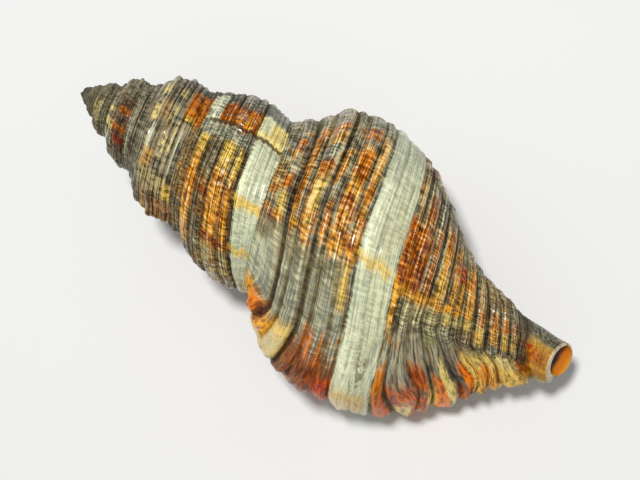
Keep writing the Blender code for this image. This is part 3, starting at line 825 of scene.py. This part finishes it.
# The outside. The noises' scales are along the turn and across the cords.
skin = {
    "wander": (16.0, 22.0), "fineWander": (90.0, 60.0),
    "ragged": (0.035, 0.014, 0.02),  # how far edges wander: in turns, in turns and finer, in cords
    "flecks": (75.0, 26.0),
    "streaks": (16.0, 90.0),
    "tone": (26.0, 9.0),
    "mottle": (130.0, 34.0),
    "folds": (30.0, 62.0),
    "lateWeave": (250.0, 100.0), "earlyWeave": (95.0, 40.0),
    "earlyFrom": (-1.85, -2.05),     # turns over which the late whorls pass into the early ones
    # fields with less weave: turns, cords, soft edges in turns and in cords, share taken off
    "calm": (
        ((-2.0, 0.1), (0.70, 0.95), 0.01, 0.01, 0.6),
        ((-0.40, 0.1), (2.12, 2.8), 0.02, 0.03, 0.6),
        ((-0.305, -0.19), (-0.1, 0.68), 0.01, 0.01, 0.4),
        ((-0.205, 0.13), (0.24, 0.38), 0.01, 0.01, 0.7),
    ),
    # the crack of the old lip: turns, cords, soft edges
    "crack": ((-1.4165, -1.4115), (0.2, 1.1), 0.0015, 0.03),
    "crackWander": 0.012,            # turns
    "rim": (0.02, 0.08), "inside": (0.35, 0.6),    # where they fade in over the face of the mouth
    "bumpStrength": 0.9, "bumpDistance": 0.0006,
    "specular": 0.04, "coatRoughness": 0.16,
}


def weaveOf(tree, turn, cord, scales, shift):
    growthLines, threads = scales
    across = stretchedNoise(tree, turn, cord, (growthLines * 0.05, threads), shift, 2.0)
    along = stretchedNoise(tree, turn, cord, (growthLines, threads * 0.14), shift + 3.0, 1.5, 0.6)
    return between(tree, 0.42, across, along)


def shellMaterial():
    material, tree, surface = newMaterial("shell_outside")
    turn, cord = mapParts(tree, "growth")
    crest, fan = mapParts(tree, "relief")

    # ragged edges
    wander = stretchedNoise(tree, turn, cord, skin["wander"], 1.7, 3.0)
    fineWander = stretchedNoise(tree, turn, cord, skin["fineWander"], 4.2, 2.0)
    far, near, aside = skin["ragged"]
    raggedTurn = nudged(tree, nudged(tree, turn, wander, far), fineWander, near)
    raggedCord = nudged(tree, cord, fineWander, aside)
    ragged = addNode(tree, "CombineXYZ", {0: raggedTurn, 1: raggedCord}).outputs[0]

    onCord = smoothStep(tree, crest, 0.36, 0.80)
    inGroove = smoothStep(tree, crest, 0.5, 0.08, 0.0, 0.85)
    fleckNoise = stretchedNoise(tree, turn, cord, skin["flecks"], 8.8, 3.0, 0.65)
    streakNoise = stretchedNoise(tree, turn, cord, skin["streaks"], 3.3, 2.0, 0.6)
    where = {
        "cords": onCord, "grooves": inGroove,
        "flecks": smoothStep(tree, fleckNoise, 0.42, 0.58),
        "streaks": smoothStep(tree, streakNoise, 0.44, 0.56),
    }

    # ground colour: grey-olive to cream and orange, changing along each cord
    tone = stretchedNoise(tree, turn, cord, skin["tone"], 0.3, 3.0, 0.6)
    ground = colourRamp(tree, tone, (
        (0.30, colours["darkGrey"]), (0.42, colours["greyOlive"]), (0.52, colours["paleGrey"]),
        (0.60, colours["tan"]), (0.72, colours["orange"]),
    ))
    colour = mixColour(tree, inGroove, ground, colours["groove"])
    for paintName, turns, cordRange, strength, edge in markings:
        hue, *kind = paintName.split()
        spread = where[kind[0]] if kind else 1.0
        edges = edge if isinstance(edge, tuple) else (edge, usualCordEdge)
        mask = patchMask(tree, ragged, turns, cordRange, *edges, strength, spread)
        colour = mixColour(tree, mask, colour, colours[hue])

    # threads along the cords, growth lines across them and speckles
    early = smoothStep(tree, turn, *skin["earlyFrom"])
    lateWeave = weaveOf(tree, turn, cord, skin["lateWeave"], 2.2)
    weave = between(tree, early, lateWeave, weaveOf(tree, turn, cord, skin["earlyWeave"], 9.4))
    calm = 0.0
    for field in skin["calm"]:
        calm = maths(tree, "MAXIMUM", calm, patchMask(tree, ragged, *field))
    onLip = smoothStep(tree, fan, 0.02, 0.25)
    folded = times(tree, onLip, leftOf(tree, calm))
    lively = leftOf(tree, maths(tree, "MAXIMUM", calm, onLip))
    mottle = stretchedNoise(tree, turn, cord, skin["mottle"], 5.5, 3.0, 0.7)
    darkMottle = times(tree, smoothStep(tree, mottle, 0.54, 0.66, 0.0, 0.6), lively)
    colour = mixColour(tree, darkMottle, colour, colours["groove"])
    paleMottle = times(tree, smoothStep(tree, mottle, 0.44, 0.34, 0.0, 0.28), lively)
    speck = mixColour(tree, early, colours["cream"], colours["sand"])
    colour = mixColour(tree, paleMottle, colour, speck)

    # painted light and shade of the threads, and on the lip painted light and shade of the long folds
    # that they run out into
    folds = stretchedNoise(tree, turn, cord, skin["folds"], 6.1, 4.0, 0.7)
    threadLightAndShade = between(tree, lively, 1.0, smoothStep(tree, weave, 0.41, 0.57, 0.22, 1.25))
    foldShade = between(tree, folded, 1.0, smoothStep(tree, folds, 0.38, 0.56, 0.5, 1.5))
    colour = mixColour(tree, 1.0, colour, grey(tree, times(tree, threadLightAndShade, foldShade)), "MULTIPLY")
    # pale beads on the cords, with painted highlights (glints) on the bead tips
    paleBeadsAndGlints = times(tree, smoothStep(tree, weave, 0.56, 0.63, 0.0, 0.9), lively)
    beadAndGlintColour = mixColour(tree, early, colours["glint"], colours["sand"])
    colour = mixColour(tree, times(tree, paleBeadsAndGlints, onCord), colour, beadAndGlintColour)
    # painted highlights on the tips of the lip's folds
    foldHighlights = times(tree, smoothStep(tree, folds, 0.57, 0.65, 0.0, 0.45), folded)
    colour = mixColour(tree, foldHighlights, colour, colours["lipAmber"])
    # painted shade, darker down in the grooves
    paintedGrooveShade = smoothStep(tree, crest, 0.0, 0.30, 0.55, 1.0)
    colour = mixColour(tree, 1.0, colour, grey(tree, paintedGrooveShade), "MULTIPLY")

    # the crack where the old lip stops
    crackTurn = nudged(tree, turn, wander, skin["crackWander"])
    crackPlace = addNode(tree, "CombineXYZ", {0: crackTurn, 1: cord}).outputs[0]
    crack = patchMask(tree, crackPlace, *skin["crack"])
    colour = mixColour(tree, times(tree, crack, 0.85), colour, colours["darkBrown"])

    # the rolled rim and the callus inside the mouth
    rim, inside = smoothStep(tree, turn, *skin["rim"]), smoothStep(tree, turn, *skin["inside"])
    colour = mixColour(tree, times(tree, rim, 0.85), colour, colours["ivory"])
    colour = mixColour(tree, times(tree, inside, 0.7), colour, colours["amber"])
    tree.links.new(colour, surface.inputs["Base Color"])

    rough = nudged(tree, smoothStep(tree, crest, 0.1, 0.8, 0.55, 0.24), fleckNoise, 0.35)
    rough = maths(tree, "MINIMUM", maths(tree, "MAXIMUM", rough, 0.16), 0.8)
    tree.links.new(rough, surface.inputs["Roughness"])

    wet = smoothStep(tree, tone, 0.42, 0.58, 0.15, 0.75)
    wet = times(tree, times(tree, wet, onCord), leftOf(tree, folded))
    tree.links.new(wet, surface.inputs["Coat Weight"])

    threads = times(tree, weave, times(tree, lively, 1.6))
    height = maths(tree, "MULTIPLY_ADD", times(tree, folds, onLip), 1.6, threads)
    bump = addNode(tree, "Bump", {"Strength": skin["bumpStrength"], "Distance": skin["bumpDistance"],
                                  "Height": height})
    tree.links.new(bump.outputs[0], surface.inputs["Normal"])
    surface.inputs["Specular IOR Level"].default_value = skin["specular"]
    surface.inputs["Coat Roughness"].default_value = skin["coatRoughness"]
    return material


def porcelainMaterial():
    # the glazed inside, amber at the lip and ivory further in
    material, tree, surface = newMaterial("shell_inside")
    back, around = mapParts(tree, "growth")
    streaks = stretchedNoise(tree, back, around, (10.0, 60.0), 1.0, 2.0)
    warm = mixColour(tree, smoothStep(tree, streaks, 0.4, 0.6), colours["amber"], colours["orange"])
    colour = mixColour(tree, smoothStep(tree, back, 0.05, 0.22), warm, colours["ivory"])
    tree.links.new(colour, surface.inputs["Base Color"])
    surface.inputs["Roughness"].default_value = 0.22
    surface.inputs["Coat Weight"].default_value = 0.4
    surface.inputs["Coat Roughness"].default_value = 0.1
    return material


def canalMaterial():
    # the end of the canal, amber at its rim, with painted shade where it runs in; its places are mm along
    # the floor
    material, tree, surface = newMaterial("canal_inside")
    spot = addNode(tree, "TexCoord").outputs["Object"]
    along = times(tree, addNode(tree, "SeparateXYZ", {0: spot}).outputs[0], 1 / mm)
    speckle = addNode(tree, "TexNoise", {"Vector": spot, "Scale": 900.0, "Detail": 2.0}).outputs["Fac"]
    along = maths(tree, "ADD", along, times(tree, speckle, 0.8))
    nearRim, atRim = smoothStep(tree, along, 56.0, 57.4), smoothStep(tree, along, 57.8, 59.6)
    colour = mixColour(tree, nearRim, colours["darkBrown"], colours["orange"])
    colour = mixColour(tree, atRim, colour, colours["amber"])
    tree.links.new(colour, surface.inputs["Base Color"])
    surface.inputs["Roughness"].default_value = 0.35
    return material


# The hollow tube inside, cut out of the grown shell
hollow = {
    "start": -0.02,                  # turns before the lip
    "turns": 1.3,                    # how far back it runs
    "wall": 1.7,                     # mm, like the next ones
    "lipThickening": 1.3,
    "glaze": 0.6,
    "slitTurns": 0.22,               # how far back the canal slit runs behind the lip
    "teeth": 0.6,                    # height of the teeth inside the lip
    "toothEvery": 0.145,             # lines
    "outerLines": (0.16, 1.34, 0.98),    # where the outer wall starts, its length, and what the slit adds
    "innerStart": (2.05, 0.43),      # the line where the inner wall starts, and what the slit adds
    "innerEnd": 0.14,                # past the line that this whorl covers
    "outerSteps": 64,
    "innerSteps": 32,
    "alongSteps": 60,
    "boreRadii": (1.3, 3.9),         # the canal's bore, inside and at its tip
    "boreStart": 88.0,
    "boreOffset": (0.13, 0.07),      # a little off the axis of the coil
}


def hollowPoint(around, back):
    outerCount, innerCount = hollow["outerSteps"], hollow["innerSteps"]
    around = around % (outerCount + innerCount)
    slit = 1.0 - blend(0.0, hollow["slitTurns"], back)
    size = grown(-back, 3) / grown(0.0, 3)
    wall = hollow["wall"] * size + hollow["lipThickening"] * np.exp(-((back - 0.06) / 0.04) ** 2)

    outerStart, outerLength, outerSlit = hollow["outerLines"]
    outerShare = np.clip(around / (outerCount - 1), 0.0, 1.0)
    outerLine = outerStart + outerShare * (outerLength + outerSlit * slit)
    tooth = (0.5 + 0.5 * np.cos(tau * outerLine / hollow["toothEvery"])) ** 2
    toothed = hollow["teeth"] * tooth * np.exp(-((back - 0.04) / 0.02) ** 2)
    wall = wall + toothed * (1.0 - blend(1.2, 1.8, outerLine))
    onLip = np.minimum(-back, 0.0)
    rise, _ = relief(onLip, outerLine)
    outer = offsetPoint(onLip, outerLine, wall + 0.5 * rise)

    innerShare = np.clip((around - outerCount) / (innerCount - 1), 0.0, 1.0)
    plainStart, slitStart = hollow["innerStart"]
    innerStart, innerEnd = plainStart + slitStart * slit, coveredLine(-back) + hollow["innerEnd"]
    innerLine = innerStart + innerShare * (innerEnd - innerStart)
    inner = offsetPoint(-1.0 - back, innerLine, -hollow["glaze"] * size)
    innerRadius = inner[1] + (1.0 - inner[1]) * blend(1.7, 2.1, innerLine) * slit

    onOuter = around < outerCount
    distance = np.where(onOuter, outer[0], inner[0])
    radius = np.maximum(np.where(onOuter, outer[1], innerRadius), 0.6)
    outerAngle = outer[2] + tau * np.maximum(-back, 0.0)
    angle = np.where(onOuter, outerAngle, radians(growth["lipAngle"]) - tau * back)
    return place(distance, radius, angle)


def buildHollow():
    ring = hollow["outerSteps"] + hollow["innerSteps"]
    bm = flatSheet(0.0, 1.0, ring, hollow["alongSteps"])
    flat = np.array([v.co for v in bm.verts], float)
    around = np.round(flat[:, 0] * ring)
    back = hollow["start"] + (hollow["turns"] - hollow["start"]) * flat[:, 1] ** 1.8
    maps = {"growth": (back, flat[:, 0]), "relief": (0.0 * back, 0.0 * back)}
    sheet = sheetMesh(bm, hollowPoint(around, back), maps)
    bm = bmesh.new()
    bm.from_mesh(sheet)
    closeUp(bm)
    return bm


def buildBore():
    length = growth["shellLength"] - hollow["boreStart"] + 4.0
    middle = Vector((hollow["boreStart"] + length / 2, *hollow["boreOffset"])) * mm
    laid = Matrix.Translation(middle) @ Matrix.Rotation(pi / 2, 4, "Y")
    inner, outer = hollow["boreRadii"]
    bm = bmesh.new()
    bmesh.ops.create_cone(bm, cap_ends=True, segments=64, radius1=inner * mm, radius2=outer * mm,
                          depth=length * mm, matrix=laid, calc_uvs=True)
    return bm


def cutOut(piece, cutters):
    for cutter in cutters:
        cut = piece.modifiers.new(cutter.name, "BOOLEAN")
        cut.object = cutter
        cut.operation = "DIFFERENCE"
        cut.solver = "EXACT"
        cut.material_mode = "TRANSFER"
    graph = bpy.context.evaluated_depsgraph_get()
    made = bpy.data.meshes.new_from_object(piece.evaluated_get(graph), depsgraph=graph)
    piece.modifiers.clear()
    piece.data = made
    for cutter in cutters:
        bpy.data.objects.remove(cutter, do_unlink=True)


print("growing the shell")
outside = buildOutside()
restPose = restMove(outside)
shell = toObject(outside, "triton_shell", restPose)
shell.data.materials.append(shellMaterial())
for v in shell.data.vertices:
    v.co.z = max(v.co.z, 0.0)
print("hollowing it out")
hollowTube = toObject(buildHollow(), "hollow_tube", restPose)
canalBore = toObject(buildBore(), "canal_bore", restPose)
hollowTube.data.materials.append(porcelainMaterial())
canalBore.data.materials.append(canalMaterial())
cutOut(shell, (canalBore, hollowTube))
shell.data.set_sharp_from_angle(angle=radians(60.0))
print("shell triangles", sum(len(p.vertices) - 2 for p in shell.data.polygons))

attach(shell, "root")
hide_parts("shell")

# Floor, light and camera
stage = {
    "size": 3.0,
    "floor": (0.86, 0.86, 0.85),
    "world": 0.31,
    "key": 2.8,                      # watts
    "keyAt": (-0.05, 0.05, 0.61),
    "keySize": 0.08,
}

bm = bmesh.new()
bmesh.ops.create_grid(bm, x_segments=1, y_segments=1, size=stage["size"])
floorMesh = bpy.data.meshes.new("floor")
bm.to_mesh(floorMesh)
bm.free()
floor = bpy.data.objects.new("floor", floorMesh)
bpy.context.scene.collection.objects.link(floor)
pale, _, paleSurface = newMaterial("pale_floor")
paleSurface.inputs["Base Color"].default_value = (*stage["floor"], 1)
paleSurface.inputs["Roughness"].default_value = 0.9
floorMesh.materials.append(pale)

world = bpy.data.worlds.new("studio")
world.use_nodes = True
sky = world.node_tree.nodes["Background"]
sky.inputs["Color"].default_value = (1, 1, 1, 1)
sky.inputs["Strength"].default_value = stage["world"]
bpy.context.scene.world = world


def lamp(name, at, size, power):
    light = bpy.data.lights.new(name, "AREA")
    light.shape = "DISK"
    light.size = size
    light.energy = power
    lampObject = bpy.data.objects.new(name, light)
    lampObject.location = at
    aim = Vector((0, 0, 0.02)) - Vector(at)
    lampObject.rotation_euler = aim.to_track_quat("-Z", "Y").to_euler()
    bpy.context.scene.collection.objects.link(lampObject)


lamp("key", stage["keyAt"], stage["keySize"], stage["key"])

# the camera looks down along the shell's own back, with the spire at the upper left
cameraView = {
    "centre": (60.8, -2.7, 0.0), "distance": 300.0, "width": 134.6,
    "lean": 5.0, "turned": 29.53,    # degrees
}


def addCamera():
    turned = restPose.to_3x3()
    centre = restPose @ (Vector(cameraView["centre"]) * mm)
    lean = radians(cameraView["lean"])
    back = (turned @ Vector((sin(lean), 0.0, cos(lean)))).normalized()
    axis = turned @ Vector((1.0, 0.0, 0.0))
    along = (axis - axis.dot(back) * back).normalized()
    across = back.cross(along)
    roll = radians(cameraView["turned"])
    right = cos(roll) * along + sin(roll) * across
    up = -sin(roll) * along + cos(roll) * across
    lens = bpy.data.cameras.new("camera")
    lens.sensor_width = 36.0
    lens.lens = 36.0 * cameraView["distance"] / cameraView["width"]
    lens.clip_start = 0.01
    camera = bpy.data.objects.new("camera", lens)
    spot = centre + back * cameraView["distance"] * mm
    facing = Matrix((right, up, back)).transposed().to_4x4()
    camera.matrix_world = Matrix.Translation(spot) @ facing
    bpy.context.scene.collection.objects.link(camera)
    bpy.context.scene.camera = camera


addCamera()
bpy.context.scene.view_settings.view_transform = "Standard"
